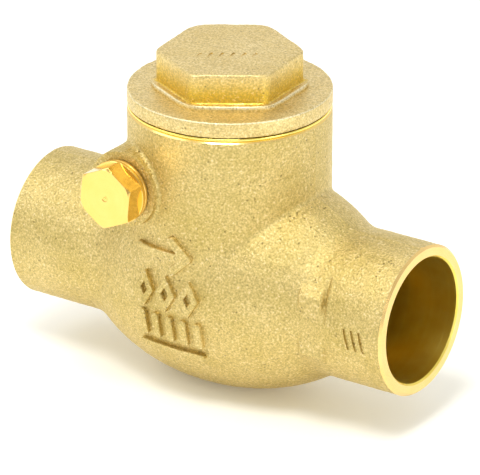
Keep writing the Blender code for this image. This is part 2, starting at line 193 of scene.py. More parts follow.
def mesh_object(name, points, faces, materials=()):
    mesh = bpy.data.meshes.new(name)
    mesh.from_pydata([tuple(p) for p in points], [], [tuple(f) for f in faces])
    mesh.validate()
    for material in materials:
        mesh.materials.append(material)
    obj = bpy.data.objects.new(name, mesh)
    bpy.context.scene.collection.objects.link(obj)
    return obj


def outward(obj):
    """Turn a mesh whose faces agree with each other so that they look out of the solid.

    A closed hollow keeps facing into its own room.
    """
    bm = bmesh.new()
    bm.from_mesh(obj.data)
    if bm.calc_volume(signed=True) < 0:
        bmesh.ops.reverse_faces(bm, faces=bm.faces)
    bm.to_mesh(obj.data)
    bm.free()
    return obj


def aimed(axis, origin, turn=0.0):
    """Takes local Z onto axis through a local origin, in millimetres."""
    spin = UP.rotation_difference(Vector(axis)).to_matrix().to_4x4()
    return Matrix.Translation(Vector(origin) + ORIGIN) @ spin @ Matrix.Rotation(turn, 4, "Z")


def circle(radius, height, angles):
    """Ring rule for a plain round ring."""
    return np.full(len(angles), radius)


def hexagon(turn, corner_r, soft=0.25):
    """Ring rule for a hexagon: radius is half its width across flats, and corners stop at corner_r."""
    def rule(radius, height, angles):
        sixth = math.tau / 6
        from_flat = (angles - turn) % sixth - sixth / 2
        return smooth_min(radius / np.cos(from_flat), corner_r, soft)
    return rule


def thread(pitch, depth, low, high):
    """Ring rule for a screw thread between two heights: depth is negative where it cuts inwards."""
    def rule(radius, height, angles):
        phase = (height / pitch - angles / math.tau) % 1
        tooth = np.clip(1.4 - 2.6 * abs(2 * phase - 1), 0, 1)
        fade = np.clip(min(height - low, high - height) / pitch, 0, 1)
        return radius + depth * fade * tooth
    return rule


def stretch(radius, low, high, step, rule):
    """Rings at even heights, close enough together to carry a thread."""
    count = max(int(abs(high - low) / step), 2)
    return [(radius, height, rule) for height in np.linspace(low, high, count)]


def soften(outline, radius, steps=3):
    """Round each corner of an outline of (radius, height, ring rule) points; its ends stay."""
    soft = [outline[0]]
    for before, corner, after in zip(outline, outline[1:], outline[2:]):
        here = np.array(corner[:2], float)
        back = np.array(before[:2], float) - here
        ahead = np.array(after[:2], float) - here
        back_length, ahead_length = np.hypot(*back), np.hypot(*ahead)
        bend = math.acos(np.clip(-(back @ ahead) / (back_length * ahead_length), -1, 1))
        trim = min(radius * math.tan(bend / 2), 0.45 * back_length, 0.45 * ahead_length)
        if bend < math.radians(12) or trim < 0.02:
            soft.append(corner)
            continue
        start = here + back / back_length * trim
        end = here + ahead / ahead_length * trim
        for share in np.linspace(0, 1, steps + 1):
            point = (1 - share) ** 2 * start + 2 * share * (1 - share) * here + share ** 2 * end
            soft.append((point[0], point[1], *corner[2:]))
    return soft + [outline[-1]]


def turned(name, outline, material, axis=UP, origin=NO_OFFSET, segments=ROUND):
    """A lathe piece from an outline of (radius, height) points, each with an optional ring rule.

    An outline that doesn't start on the axis closes on itself.
    """
    angles = np.arange(segments) * math.tau / segments
    points = []
    rings = []
    for radius, height, *rule in outline:
        start = len(points)
        if radius == 0:
            points.append((0, 0, height))
            rings.append([start] * segments)
            continue
        radii = rule[0](radius, height, angles) if rule else circle(radius, height, angles)
        points += [(r * math.cos(a), r * math.sin(a), height) for r, a in zip(radii, angles)]
        rings.append(list(range(start, start + segments)))
    pairs = list(zip(rings, rings[1:]))
    if outline[0][0] > 0:
        pairs.append((rings[-1], rings[0]))
    faces = []
    for lower, upper in pairs:
        for step in range(segments):
            after = (step + 1) % segments
            face = [lower[step], lower[after], upper[after], upper[step]]
            faces.append(list(dict.fromkeys(face)))
    obj = mesh_object(name, points, faces, [material])
    obj.data.transform(aimed(axis, origin))
    return outward(obj)


def turned_ring(name, inner, outer, bottom, top, edge, material, axis, origin):
    """A washer-shaped piece with rounded edges."""
    corners = [(inner, bottom), (outer, bottom), (outer, top), (inner, top)]
    loop = soften([corners[-1], *corners, corners[0]], edge)[1:-1]
    return turned(name, loop, material, axis, origin, ROUND // 2)


def extruded(name, outline, bottom, top, material, axis=UP, origin=NO_OFFSET, turn=0.0):
    """A prism from a plan of (x, y) points, listed anticlockwise."""
    count = len(outline)
    points = [(x, y, bottom) for x, y in outline] + [(x, y, top) for x, y in outline]
    faces = [list(range(count))[::-1], list(range(count, 2 * count))]
    faces += [(i, (i + 1) % count, (i + 1) % count + count, i + count) for i in range(count)]
    obj = mesh_object(name, points, faces, [material])
    obj.data.transform(aimed(axis, origin, turn))
    return outward(obj)


def combine(obj, tool, operation):
    """Cut or join obj with a tool, which is used up and leaves its material on the faces it made."""
    for material in tool.data.materials:
        if material.name not in obj.data.materials:
            obj.data.materials.append(material)
    modifier = obj.modifiers.new("combine", "BOOLEAN")
    modifier.object = tool
    modifier.operation = operation
    modifier.solver = "MANIFOLD"
    graph = bpy.context.evaluated_depsgraph_get()
    old = obj.data
    obj.data = bpy.data.meshes.new_from_object(obj.evaluated_get(graph))
    obj.modifiers.clear()
    bpy.data.meshes.remove(old)
    bpy.data.objects.remove(tool)
    return obj


def done(obj, body, node, sharp=35):
    """Bring a finished piece to metres and attach it to its body in place of its CAD node."""
    obj.data.transform(Matrix.Scale(MM, 4))
    obj.data.shade_smooth()
    obj.data.set_sharp_from_angle(angle=math.radians(sharp))
    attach(obj, body)
    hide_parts(node)
    return obj


# -------------------- smooth solids from distances

def smooth_min(a, b, blend):
    """The nearer of two distances, with a fillet about blend wide where they meet."""
    share = np.clip(0.5 + 0.5 * (b - a) / blend, 0, 1)
    return b + (a - b) * share - blend * share * (1 - share)


def smooth_max(a, b, blend):
    return -smooth_min(-a, -b, blend)


def ramp(value, low, high):
    """Runs smoothly from 0 at low to 1 at high."""
    share = np.clip((value - low) / (high - low), 0, 1)
    return share * share * (3 - 2 * share)


def surface_of(distance, low, high, cell):
    """Points and quads of the surface where distance is zero, one point per cell it crosses."""
    axes = [np.arange(a, b + cell, cell) for a, b in zip(low, high)]
    grid = np.meshgrid(*axes, indexing="ij", sparse=True)
    inside = without_saddles(distance(*grid) < 0)
    count = np.zeros([n - 1 for n in inside.shape], np.int8)
    for i in (0, 1):
        for j in (0, 1):
            for k in (0, 1):
                count += inside[i:i - 1 or None, j:j - 1 or None, k:k - 1 or None]
    crossed = (count > 0) & (count < 8)
    number = np.full(count.shape, -1, np.int64)
    number[crossed] = np.arange(crossed.sum())
    cells = np.argwhere(crossed)
    points = np.stack([axes[d][cells[:, d]] + cell / 2 for d in range(3)], axis=1)
    quads = []
    for d in range(3):
        here = np.take(inside, range(inside.shape[d] - 1), axis=d)
        there = np.take(inside, range(1, inside.shape[d]), axis=d)
        edges = np.argwhere(here != there)
        leaving = here[tuple(edges.T)]
        e, f = [(1, 2), (2, 0), (0, 1)][d]
        corners = []
        for de, df in ((-1, -1), (0, -1), (0, 0), (-1, 0)):
            neighbour = edges.copy()
            neighbour[:, e] += de
            neighbour[:, f] += df
            corners.append(number[tuple(neighbour.T)])
        quad = np.stack(corners, axis=1)
        quad[~leaving] = quad[~leaving][:, ::-1]
        quads.append(quad)
    quads = np.concatenate(quads)
    for _ in range(3):
        points = settle(points, distance)
        points = relax(points, quads)
    for _ in range(3):
        points = settle(points, distance)
    return points, quads


def without_saddles(inside):
    """Fill grid squares that are solid at two opposite corners only.

    Two sheets of the surface would share an edge there, and a Boolean refuses such a mesh.
    """
    for _ in range(3):
        for a, b in ((0, 1), (1, 2), (2, 0)):
            squares = np.moveaxis(inside, (a, b), (0, 1))
            one, other = squares[:-1, :-1] & squares[1:, 1:], squares[1:, :-1] & squares[:-1, 1:]
            either = (squares[:-1, :-1] | squares[1:, 1:]) & (squares[1:, :-1] | squares[:-1, 1:])
            saddle = (one ^ other) & ~either
            for i in (slice(None, -1), slice(1, None)):
                for j in (slice(None, -1), slice(1, None)):
                    squares[i, j] |= saddle
    return inside


def settle(points, distance, step=0.02):
    """Move points onto the surface along its slope."""
    value = distance(*points.T)
    slope = np.stack([(distance(*(points + offset).T) - distance(*(points - offset).T)) / (2 * step)
                      for offset in np.eye(3) * step], axis=1)
    size = np.maximum((slope ** 2).sum(axis=1), 0.05)
    return points - (value / size)[:, None] * slope


def relax(points, quads, strength=0.5):
    """Even out the spacing of the points by moving each towards the middle of its neighbours."""
    total = np.zeros_like(points)
    count = np.zeros(len(points))
    for a, b in ((0, 1), (1, 2), (2, 3), (3, 0)):
        for first, second in ((quads[:, a], quads[:, b]), (quads[:, b], quads[:, a])):
            for axis in range(3):
                total[:, axis] += np.bincount(first, points[second, axis], len(points))
            count += np.bincount(first, minlength=len(points))
    return points + strength * (total / count[:, None] - points)


def solid_from(name, distance, low, high, cell, material):
    """A solid filling the part of a local box where distance is negative."""
    points, quads = surface_of(distance, low, high, cell)
    obj = mesh_object(name, points, quads.tolist(), [material])
    obj.data.transform(Matrix.Translation(ORIGIN))
    return outward(obj)


# -------------------- materials

class Nodes:
    """Short names for building a material's nodes."""

    def __init__(self, name):
        self.material = bpy.data.materials.new(name)
        self.material.use_nodes = True
        self.tree = self.material.node_tree
        self.shader = self.tree.nodes["Principled BSDF"]
        self.place = self.add("ShaderNodeTexCoord").outputs["Object"]

    def add(self, kind, **settings):
        node = self.tree.nodes.new(kind)
        for key, value in settings.items():
            setattr(node, key, value)
        return node

    def link(self, source, target):
        self.tree.links.new(source, target)

    def noise(self, size, detail=2.0, roughness=0.5):
        """Noise whose features are about size millimetres across."""
        node = self.add("ShaderNodeTexNoise")
        self.link(self.place, node.inputs["Vector"])
        node.inputs["Scale"].default_value = 1 / (size * MM)
        node.inputs["Detail"].default_value = detail
        node.inputs["Roughness"].default_value = roughness
        return node.outputs["Fac"]

    def lines(self, value, size, detail=3.0):
        """Uneven lines about size millimetres apart across a length given in millimetres."""
        node = self.add("ShaderNodeTexNoise", noise_dimensions="1D")
        self.link(value, node.inputs["W"])
        node.inputs["Scale"].default_value = 1 / size
        node.inputs["Detail"].default_value = detail
        return node.outputs["Fac"]

    def pits(self, size):
        """Distance from the nearest of many scattered points, about size millimetres apart."""
        node = self.add("ShaderNodeTexVoronoi")
        self.link(self.place, node.inputs["Vector"])
        node.inputs["Scale"].default_value = 1 / (size * MM)
        return node.outputs["Distance"]

    def height(self):
        """Height above the pipe's axis, in millimetres."""
        node = self.add("ShaderNodeSeparateXYZ")
        self.link(self.place, node.inputs[0])
        return self.math("SUBTRACT", self.math("MULTIPLY", node.outputs["Z"], 1 / MM), ORIGIN.z)

    def spread(self, value, low, high, to_low=0.0, to_high=1.0):
        """Stretch low to high onto to_low to to_high, clamped at both ends."""
        node = self.add("ShaderNodeMapRange")
        self.link(value, node.inputs["Value"])
        limits = {"From Min": low, "From Max": high, "To Min": to_low, "To Max": to_high}
        for key, number in limits.items():
            node.inputs[key].default_value = number
        return node.outputs["Result"]

    def math(self, operation, first, second=None):
        node = self.add("ShaderNodeMath", operation=operation)
        for index, value in enumerate((first, second)):
            if value is None:
                continue
            if isinstance(value, (int, float)):
                node.inputs[index].default_value = value
            else:
                self.link(value, node.inputs[index])
        return node.outputs[0]

    def mix(self, share, first, second):
        node = self.add("ShaderNodeMix", data_type="RGBA")
        self.link(share, node.inputs["Factor"])
        for socket, colour in ((node.inputs[6], first), (node.inputs[7], second)):
            if isinstance(colour, tuple):
                socket.default_value = (*colour, 1)
            else:
                self.link(colour, socket)
        return node.outputs[2]

    def bump(self, height, depth, under=None):
        """Relief whose full swing is depth millimetres."""
        node = self.add("ShaderNodeBump")
        node.inputs["Distance"].default_value = depth * MM
        node.inputs["Strength"].default_value = 1.0
        self.link(height, node.inputs["Height"])
        if under is not None:
            self.link(under, node.inputs["Normal"])
        return node.outputs["Normal"]

    def along(self, axis, origin):
        """Distance from a lathe axis plus distance along it, in millimetres, for tool marks."""
        centre = (Vector(origin) + ORIGIN) * MM
        offset = self.add("ShaderNodeVectorMath", operation="SUBTRACT")
        self.link(self.place, offset.inputs[0])
        offset.inputs[1].default_value = centre
        height = self.add("ShaderNodeVectorMath", operation="DOT_PRODUCT")
        self.link(offset.outputs["Vector"], height.inputs[0])
        height.inputs[1].default_value = Vector(axis)
        cross = self.add("ShaderNodeVectorMath", operation="CROSS_PRODUCT")
        self.link(offset.outputs["Vector"], cross.inputs[0])
        cross.inputs[1].default_value = Vector(axis)
        length = self.add("ShaderNodeVectorMath", operation="LENGTH")
        self.link(cross.outputs["Vector"], length.inputs[0])
        total = self.math("ADD", height.outputs["Value"], length.outputs["Value"])
        return self.math("MULTIPLY", total, 1 / MM)


# Painted highlight colour for the bright lines along the cap's flange and plinth edges
PAINTED_EDGE_HIGHLIGHT = (0.99, 0.88, 0.56)
# Painted highlight colour for the glints on the tops of the sand grain
PAINTED_GLINT = (0.97, 0.88, 0.66)


def shade(colour, factor):
    return tuple(factor * c for c in colour)


def cast_metal(name, light, dark, roughness, grain=0.05, painted_side_shade=None, painted_highlight_bands=()):
    """Sand-cast brass: sandy grain, soft swells and a slow change of tone, with painted shade in the
    grain's hollows and pits and painted glints on its tops.

    The sixth argument, (colour, low, middle, high), is a painted shade: it starts at low and fades out
    from middle to high.
    The seventh argument lists the (low, high) heights of edges that get a painted highlight.
    """
    n = Nodes(name)
    tone = n.spread(n.noise(7.0, 3.0), 0.3, 0.7)
    colour = n.mix(tone, dark, light)
    # Painted amber shade on the hexagon's sides, strongest at their foot and fading upwards
    if painted_side_shade:
        side_shade_colour, low, middle, high = painted_side_shade
        height = n.height()
        rising = n.spread(height, low, low + 0.05)
        fading = n.spread(height, middle, high, 1.0, 0.0)
        colour = n.mix(n.math("MULTIPLY", rising, fading), colour, side_shade_colour)
    # Painted highlights along the listed bands of height
    for low, high in painted_highlight_bands:
        above = n.spread(n.height(), low, low + 0.1)
        below = n.spread(n.height(), high, high + 0.1, 1.0, 0.0)
        colour = n.mix(n.math("MULTIPLY", above, below), colour, PAINTED_EDGE_HIGHLIGHT)
    sand = n.noise(0.36, 3.0, 0.7)
    # Painted shade: dark specks where the sand grain's bump is low
    speck = n.spread(sand, 0.36, 0.58)
    colour = n.mix(n.math("MULTIPLY", n.math("SUBTRACT", 1.0, speck), 0.6), colour, shade(dark, 0.45))
    # Painted glints where the sand grain's bump is high
    painted_glint_share = n.spread(sand, 0.56, 0.72)
    colour = n.mix(n.math("MULTIPLY", painted_glint_share, 0.6), colour, PAINTED_GLINT)
    # Painted shade in scattered pits, which the bump below also sinks
    holes = n.spread(n.pits(0.9), 0.10, 0.24, 1.0, 0.0)
    some = n.spread(n.noise(2.2), 0.52, 0.62)
    holes = n.math("MULTIPLY", holes, some)
    colour = n.mix(n.math("MULTIPLY", holes, 0.7), colour, shade(dark, 0.3))
    n.link(colour, n.shader.inputs["Base Color"])
    n.shader.inputs["Metallic"].default_value = 1.0
    rough = n.spread(n.noise(1.1, 3.0), 0.3, 0.7, roughness - 0.05, roughness + 0.07)
    n.link(rough, n.shader.inputs["Roughness"])
    swell = n.bump(n.noise(2.6, 2.0), grain * 2.5)
    grains = n.bump(sand, grain * 2.2, swell)
    pitted = n.bump(n.math("SUBTRACT", 1.0, holes), grain * 1.5, grains)
    n.link(pitted, n.shader.inputs["Normal"])
    return n.material


def turned_metal(name, light, dark, roughness, axis=UP, origin=NO_OFFSET, pitch=0.5, depth=0.003):
    """Lathe-cut metal: uneven rings around the axis over a faint change of tone."""
    n = Nodes(name)
    place = n.along(axis, origin)
    coarse = n.lines(place, pitch * 3, 2.0)
    fine = n.lines(place, pitch * 0.5)
    tone = n.spread(n.noise(4.0, 2.0), 0.3, 0.7)
    share = n.math("ADD", n.math("MULTIPLY", coarse, 0.5), n.math("MULTIPLY", tone, 0.5))
    n.link(n.mix(share, dark, light), n.shader.inputs["Base Color"])
    n.shader.inputs["Metallic"].default_value = 1.0
    rough = n.spread(fine, 0.3, 0.7, roughness - 0.04, roughness + 0.06)
    n.link(rough, n.shader.inputs["Roughness"])
    rings = n.bump(coarse, depth * 2)
    n.link(n.bump(fine, depth, rings), n.shader.inputs["Normal"])
    return n.material


def rubber(name):
    """Moulded black rubber with a dusty, slightly pebbled face."""
    n = Nodes(name)
    dust = n.spread(n.noise(1.6, 4.0), 0.45, 0.75)
    n.link(n.mix(dust, (0.018, 0.018, 0.020), (0.055, 0.053, 0.050)), n.shader.inputs["Base Color"])
    n.link(n.spread(n.noise(0.8), 0.3, 0.7, 0.5, 0.72), n.shader.inputs["Roughness"])
    n.link(n.bump(n.noise(0.3, 3.0), 0.02), n.shader.inputs["Normal"])
    return n.material


CAST = cast_metal("cast_brass", (0.80, 0.63, 0.26), (0.70, 0.54, 0.18), 0.46, 0.08)
CAP_CAST = cast_metal("cap_cast_brass", (0.90, 0.72, 0.34), (0.83, 0.64, 0.26), 0.42, 0.05,
                      # Painted amber shade on the hexagon's sides, strongest at their foot
                      ((0.82, 0.55, 0.05), PLINTH_TOP, PLINTH_TOP + 1.5, CAP_TOP - 0.6),
                      # Painted highlights along the upper edges of the flange and the plinth
                      ((FLANGE_TOP - 0.3, FLANGE_TOP - 0.12), (PLINTH_TOP - 0.6, PLINTH_TOP - 0.1)))
BRIGHT = (0.95, 0.72, 0.28)
DEEP = (0.86, 0.58, 0.17)
END_CUT = turned_metal("turned_pipe_ends", (0.97, 0.69, 0.29), (0.92, 0.62, 0.20), 0.24, ALONG_PIPE,
                       pitch=0.3)
# A lighter, deeper yellow copy of the turned brass of the ends: painted light inside the cups
PAINTED_LIGHT_CUP_CUT = turned_metal("turned_cups_painted_light", (1.00, 0.84, 0.22), (0.90, 0.65, 0.08), 0.34, ALONG_PIPE,
                       depth=0.012)
NECK_CUT = turned_metal("turned_neck", BRIGHT, DEEP, 0.20)
SIDE_CUT = turned_metal("turned_side_hole", BRIGHT, DEEP, 0.26, SIDE, HINGE)
SEAT_CUT = turned_metal("turned_seat", BRIGHT, DEEP, 0.20, SEAT_NORMAL, SEAT)
SEAL_METAL = turned_metal("seal_brass", (0.99, 0.84, 0.25), (0.97, 0.78, 0.16), 0.22)
POLISHED = turned_metal("polished_brass", (0.99, 0.69, 0.22), (0.96, 0.62, 0.15), 0.13, SIDE, HINGE,
                        pitch=0.3, depth=0.001)
WASHER_BRASS = turned_metal("washer_brass", (0.92, 0.66, 0.22), (0.84, 0.55, 0.14), 0.3, SIDE, HINGE)
STEEL = turned_metal("pin_steel", (0.66, 0.66, 0.64), (0.52, 0.52, 0.50), 0.2, SIDE, HINGE,
                     pitch=0.25)
STACK_BRASS = turned_metal("stack_brass", (0.88, 0.66, 0.27), (0.78, 0.53, 0.17), 0.24,
                           SEAT_NORMAL, SEAT)
BRONZE = cast_metal("hanger_bronze", (0.66, 0.42, 0.20), (0.52, 0.31, 0.13), 0.42, 0.03)
RUBBER = rubber("seat_rubber")


# -------------------- the casting

def ellipsoid(x, y, z, half):
    """Nearly the distance to an ellipsoid with these half axes."""
    near = np.sqrt((x / half[0]) ** 2 + (y / half[1]) ** 2 + (z / half[2]) ** 2)
    far = np.sqrt((x / half[0] ** 2) ** 2 + (y / half[1] ** 2) ** 2 + (z / half[2] ** 2) ** 2)
    return near * (near - 1) / np.maximum(far, 1e-6)


def belly(x, y, z, wall=0.0):
    """Distance to an egg with a flatter top, tipped slightly up towards the outlet."""
    along = x - BELLY_X
    up = z - BELLY_SLOPE * along
    length, width, height = [side - wall for side in BELLY_HALF]
    upper = BELLY_UPPER_HALF - wall
    return np.where(up > 0, ellipsoid(along, y, up, (length, width, upper)),
                    ellipsoid(along, y, up, (length, width, height)))


def wrench_band(x, y, z, middle, flat):
    """Distance to an octagonal band that fades out towards the top and the bottom of the pipe."""
    corner = 0.5
    fade = 2.0
    octagon = np.maximum(np.maximum(abs(y), abs(z)), (abs(y) + abs(z)) * math.sqrt(0.5)) - flat
    ends = abs(x - middle) - (BAND_OUTSIDE - BAND_INSIDE) / 2
    return smooth_max(smooth_max(octagon, ends, corner), abs(z) - BAND_REACH, fade)


def seat_distance(x, z):
    """Distance in front of the seat wall's face."""
    return (x - SEAT.x) * SEAT_NORMAL.x + (z - SEAT.z) * SEAT_NORMAL.z


def stroke(x, z, start, end, half):
    """Distance to a straight stroke with round ends."""
    run, rise = end[0] - start[0], end[1] - start[1]
    share = np.clip(((x - start[0]) * run + (z - start[1]) * rise) / (run * run + rise * rise), 0, 1)
    return np.hypot(x - start[0] - share * run, z - start[1] - share * rise) - half


def raised_marks(x, z):
    """Plan of the foundry marks on the front: an arrow with the flow, diamonds, bars and a rule."""
    bold = 0.75
    thin = 0.45
    arrow, arrow_tip, barb = 8.6, 3.4, 2.9
    rule = -9.8
    marks = [stroke(x, z, (-7.2, arrow), (3.2, arrow), bold),
             stroke(x, z, (0.3, arrow + barb), (arrow_tip, arrow), bold),
             stroke(x, z, (0.3, arrow - barb), (arrow_tip, arrow), bold),
             stroke(x, z, (-7.4, rule), (5.4, rule), thin)]
    for step in range(3):
        middle = -5.6 + 4.7 * step
        diamond = (abs(x - middle) / 1.45 + abs(z - 1.3) / 2.3 - 1) * 1.25
        marks.append(abs(diamond) - 0.58)
    for step in range(5):
        middle = -6.2 + 2.9 * step
        marks.append(stroke(x, z, (middle, -7.2), (middle, -3.6), bold))
    return np.minimum.reduce(np.broadcast_arrays(*marks))


def unevenness(x, y, z):
    """Gentle swells of a sand casting, a few hundredths of a millimetre high."""
    waves = np.sin(1.7 * x + 0.9 * y) + np.sin(1.3 * y + 2.1 * z + 1) + np.sin(1.9 * z - 1.1 * x + 2)
    ripples = np.sin(3.9 * x - 2.7 * z) * np.sin(3.3 * y + 1.9 * z + 0.7)
    return 0.008 * waves + 0.016 * ripples


def boss_form(x, y, z):
    """The boss for the hinge pin, ragged at its rim, with spare metal on the plug's side."""
    spare = np.where(y < 0, LATHE_SPARE, 0.0)
    ragged = 0.07 * np.sin(5.1 * x + 2 * y) * np.sin(4.7 * z - 3 * y) + 0.05 * np.sin(7 * x - 6 * z)
    across = np.hypot(x - HINGE.x, z - HINGE.z) - BOSS_R + ragged
    return smooth_max(across, abs(y) - BOSS_FACE - spare, 0.9)


def dent_beside_band(x, y, z):
    """Depth of the shallow leaning dent in the front, just past the right wrench band."""
    from_middle = abs(x - (BAND_SHIFT + BAND_OUTSIDE + 0.3) + 0.08 * z)
    depth = 0.4 * (1 - ramp(from_middle, 0.1, 0.75))
    return depth * ramp(z, 0.5, 3.5) * (1 - ramp(z, 7.5, 9.5)) * (y < 0)


def outer_form(x, y, z):
    """Pipe, belly, wrench bands, neck and boss, run together with small fillets."""
    pipe = np.hypot(y, z) - TUBE_R + 0 * x
    band = (BAND_INSIDE + BAND_OUTSIDE) / 2
    neck = np.maximum(np.hypot(x, y) - NECK_R, -z)
    form = smooth_min(belly(x, y, z), pipe, 1.0)
    form = smooth_min(form, wrench_band(x, y, z, BAND_SHIFT - band, LEFT_BAND_FLAT), 0.5)
    form = smooth_min(form, wrench_band(x, y, z, BAND_SHIFT + band, BAND_FLAT), 0.2)
    form = smooth_min(form, neck, 0.6)
    form = smooth_min(form, boss_form(x, y, z), 0.8)
    parting = PARTING_RIDGE * (1 - ramp(abs(y), 0.1, 0.5))
    return form - parting + dent_beside_band(x, y, z) + unevenness(x, y, z)


def mark_form(x, y, z):
    """The raised marks, following the casting's skin and rooted below it."""
    root = 1.0
    skin = outer_form(x, y, z)
    top = skin - MARK_HEIGHT - 2 * unevenness(2 * x, 3 * y, 2 * z)
    return np.maximum(smooth_max(top, raised_marks(x, z), 0.2), -root - skin)


def hollow_form(x, y, z):
    """The room under the cap and the inlet chamber, with the seat's wall and lip left between them."""
    front = seat_distance(x, z)
    room = smooth_max(belly(x, y, z, WALL), x - (OUTLET_END - CUP_DEPTH - WALL), 2.0)
    bore = np.maximum(np.hypot(x, y) - NECK_BORE_R + THREAD_GAP, -z)
    room = smooth_min(room, bore, 1.5)
    room = smooth_max(room, 0.01 - front, 0.8)
    inlet = smooth_max(belly(x, y, z, WALL), (INLET_END + CUP_DEPTH + WALL) - x, 2.0)
    inlet = smooth_max(inlet, front + WALL, 1.0)
    across = np.sqrt((x - SEAT.x - front * SEAT_NORMAL.x) ** 2 + y ** 2
                     + (z - SEAT.z - front * SEAT_NORMAL.z) ** 2)
    lip = np.maximum(across - SEAT_LIP_R, abs(front) - SEAT_LIP - 0.4)
    return np.maximum(np.minimum(room, inlet), -lip) + unevenness(x, y, z)


def rough_casting(x, y, z):
    """The whole casting, with a little extra at each face that the lathe then cuts."""
    ends = np.maximum(x - OUTLET_END, INLET_END - x) - LATHE_SPARE
    form = np.maximum(np.maximum(outer_form(x, y, z), ends), z - NECK_TOP - LATHE_SPARE)
    return np.maximum(form, -hollow_form(x, y, z))


def end_tool(end, inward):
    """What a lathe takes off one end's face and outer corner."""
    edge = 0.4
    outside = 20
    clear = 3
    outline = [(0, -clear), (outside, -clear), (outside, outside - TUBE_R + edge), (TUBE_R - edge, 0),
               (0, 0)]
    return turned("end_tool", outline, END_CUT, (inward, 0, 0), (end, 0, 0))


def cup_tool(end, inward):
    """What it then takes out for the tube: the cup and the smaller bore that stops the tube."""
    mouth = 0.3
    deep = CUP_DEPTH + WALL + 1
    outline = [(0, -1), (TUBE_BORE_R + mouth, -1), (TUBE_BORE_R + mouth, 0), (TUBE_BORE_R, mouth),
               (TUBE_BORE_R, CUP_DEPTH), (STOP_R, CUP_DEPTH), (STOP_R, deep), (0, deep)]
    return turned("cup_tool", outline, PAINTED_LIGHT_CUP_CUT, (inward, 0, 0), (end, 0, 0))


def neck_tool():
    """Faces the neck, breaks its outer corner, and bores and threads its inside."""
    low = SPIGOT_END - 1.2
    lead = 0.35
    corner = 0.35
    rule = thread(CAP_PITCH, 0.6, low + 0.2, NECK_TOP - 0.5)
    outline = [(0, low), (NECK_BORE_R, low)]
    outline += stretch(NECK_BORE_R, low + 0.2, NECK_TOP - 0.5, CAP_PITCH / 8, rule)
    outside = 24
    above = NECK_TOP + 4
    outline += [(NECK_BORE_R + lead, NECK_TOP), (NECK_R - corner, NECK_TOP),
                (outside, NECK_TOP - outside + NECK_R - corner), (outside, above), (0, above)]
    return turned("neck_tool", outline, NECK_CUT)


def boss_facing():
    """Levels the boss, leaving it as rough as the rest of the casting."""
    clear = 2.5
    outline = [(0, BOSS_FACE), (BOSS_R + clear, BOSS_FACE), (BOSS_R + clear, BOSS_FACE + clear),
               (0, BOSS_FACE + clear)]
    return turned("boss_tool", outline, CAST, SIDE, HINGE)


def side_tool():
    """Drills and threads the boss for the plug, and drills on for the hinge pin."""
    pin_hole = PIN_R + RUNNING_GAP
    plug_hole = PLUG_SHANK_R + THREAD_GAP
    rule = thread(PLUG_PITCH, 0.4, PLUG_HOLE_END + 0.3, BOSS_FACE - 0.5)
    outline = [(0, -PIN_HOLE_END), (pin_hole, -PIN_HOLE_END), (pin_hole, PLUG_HOLE_END),
               (plug_hole, PLUG_HOLE_END)]
    outline += stretch(plug_hole, PLUG_HOLE_END + 0.3, BOSS_FACE - 0.5, PLUG_PITCH / 8, rule)
    mouth = plug_hole + 0.4
    outline += [(mouth, BOSS_FACE), (mouth, BOSS_FACE + 1), (0, BOSS_FACE + 1)]
    return turned("side_tool", outline, SIDE_CUT, SIDE, HINGE)


def port_tool():
    """Bores the port and faces the seat's lip."""
    edge = 0.3
    behind = -WALL - 1.5
    clear_r = SEAT_LIP_R + 0.3
    in_front = SEAT_LIP + 1.2
    outline = [(0, behind), (PORT_R, behind), (PORT_R, SEAT_LIP - edge), (PORT_R + edge, SEAT_LIP),
               (clear_r, SEAT_LIP), (clear_r, in_front), (0, in_front)]
    return turned("port_tool", outline, SEAT_CUT, SEAT_NORMAL, SEAT)


def foot_tool():
    """Takes the flat off the belly that the valve stands on."""
    half = 30
    square = [(-half, -half), (half, -half), (half, half), (-half, half)]
    return extruded("foot_tool", square, FOOT - 9, FOOT, CAST)


def casting():
    """The body as it leaves the foundry, with its marks, and then the machining in order."""
    low = (INLET_END - 1, -BOSS_FACE - 2, FOOT - 2)
    high = (OUTLET_END + 1, BOSS_FACE + 2, NECK_TOP + 1)
    body = solid_from("casting", rough_casting, low, high, CELL, CAST)
    marks = solid_from("marks", mark_form, (-9, -BOSS_FACE - 1, -11), (8, -12, 14), CELL * 0.5, CAST)
    combine(body, marks, "UNION")
    punch_outlet(body)
    for end, inward in ((INLET_END, 1), (OUTLET_END, -1)):
        combine(body, end_tool(end, inward), "DIFFERENCE")
        combine(body, cup_tool(end, inward), "DIFFERENCE")
    for tool in (neck_tool, boss_facing, side_tool, port_tool, foot_tool):
        combine(body, tool(), "DIFFERENCE")
    return done(body, "body", "valve_body")


def punch(obj, half_width, half_length, depth, material, axis, place, turn):
    """Punch one plain stroke, a little wider in its middle, into a surface."""
    wide = half_width + 0.08
    clear = 1.0
    outline = [(-half_width, -half_length), (half_width, -half_length), (wide, 0),
               (half_width, half_length), (-half_width, half_length), (-wide, 0)]
    combine(obj, extruded("punch", outline, -depth, clear, material, axis, place, turn), "DIFFERENCE")


def punch_outlet(body):
    """Three slanting strokes in the side of the outlet."""
    for step in range(3):
        place = (33.0 + 1.5 * step, -TUBE_R, -0.3)
        punch(body, 0.26, 1.9, 0.35, CAST, SIDE, place, 0.25)


# -------------------- cap and its seal

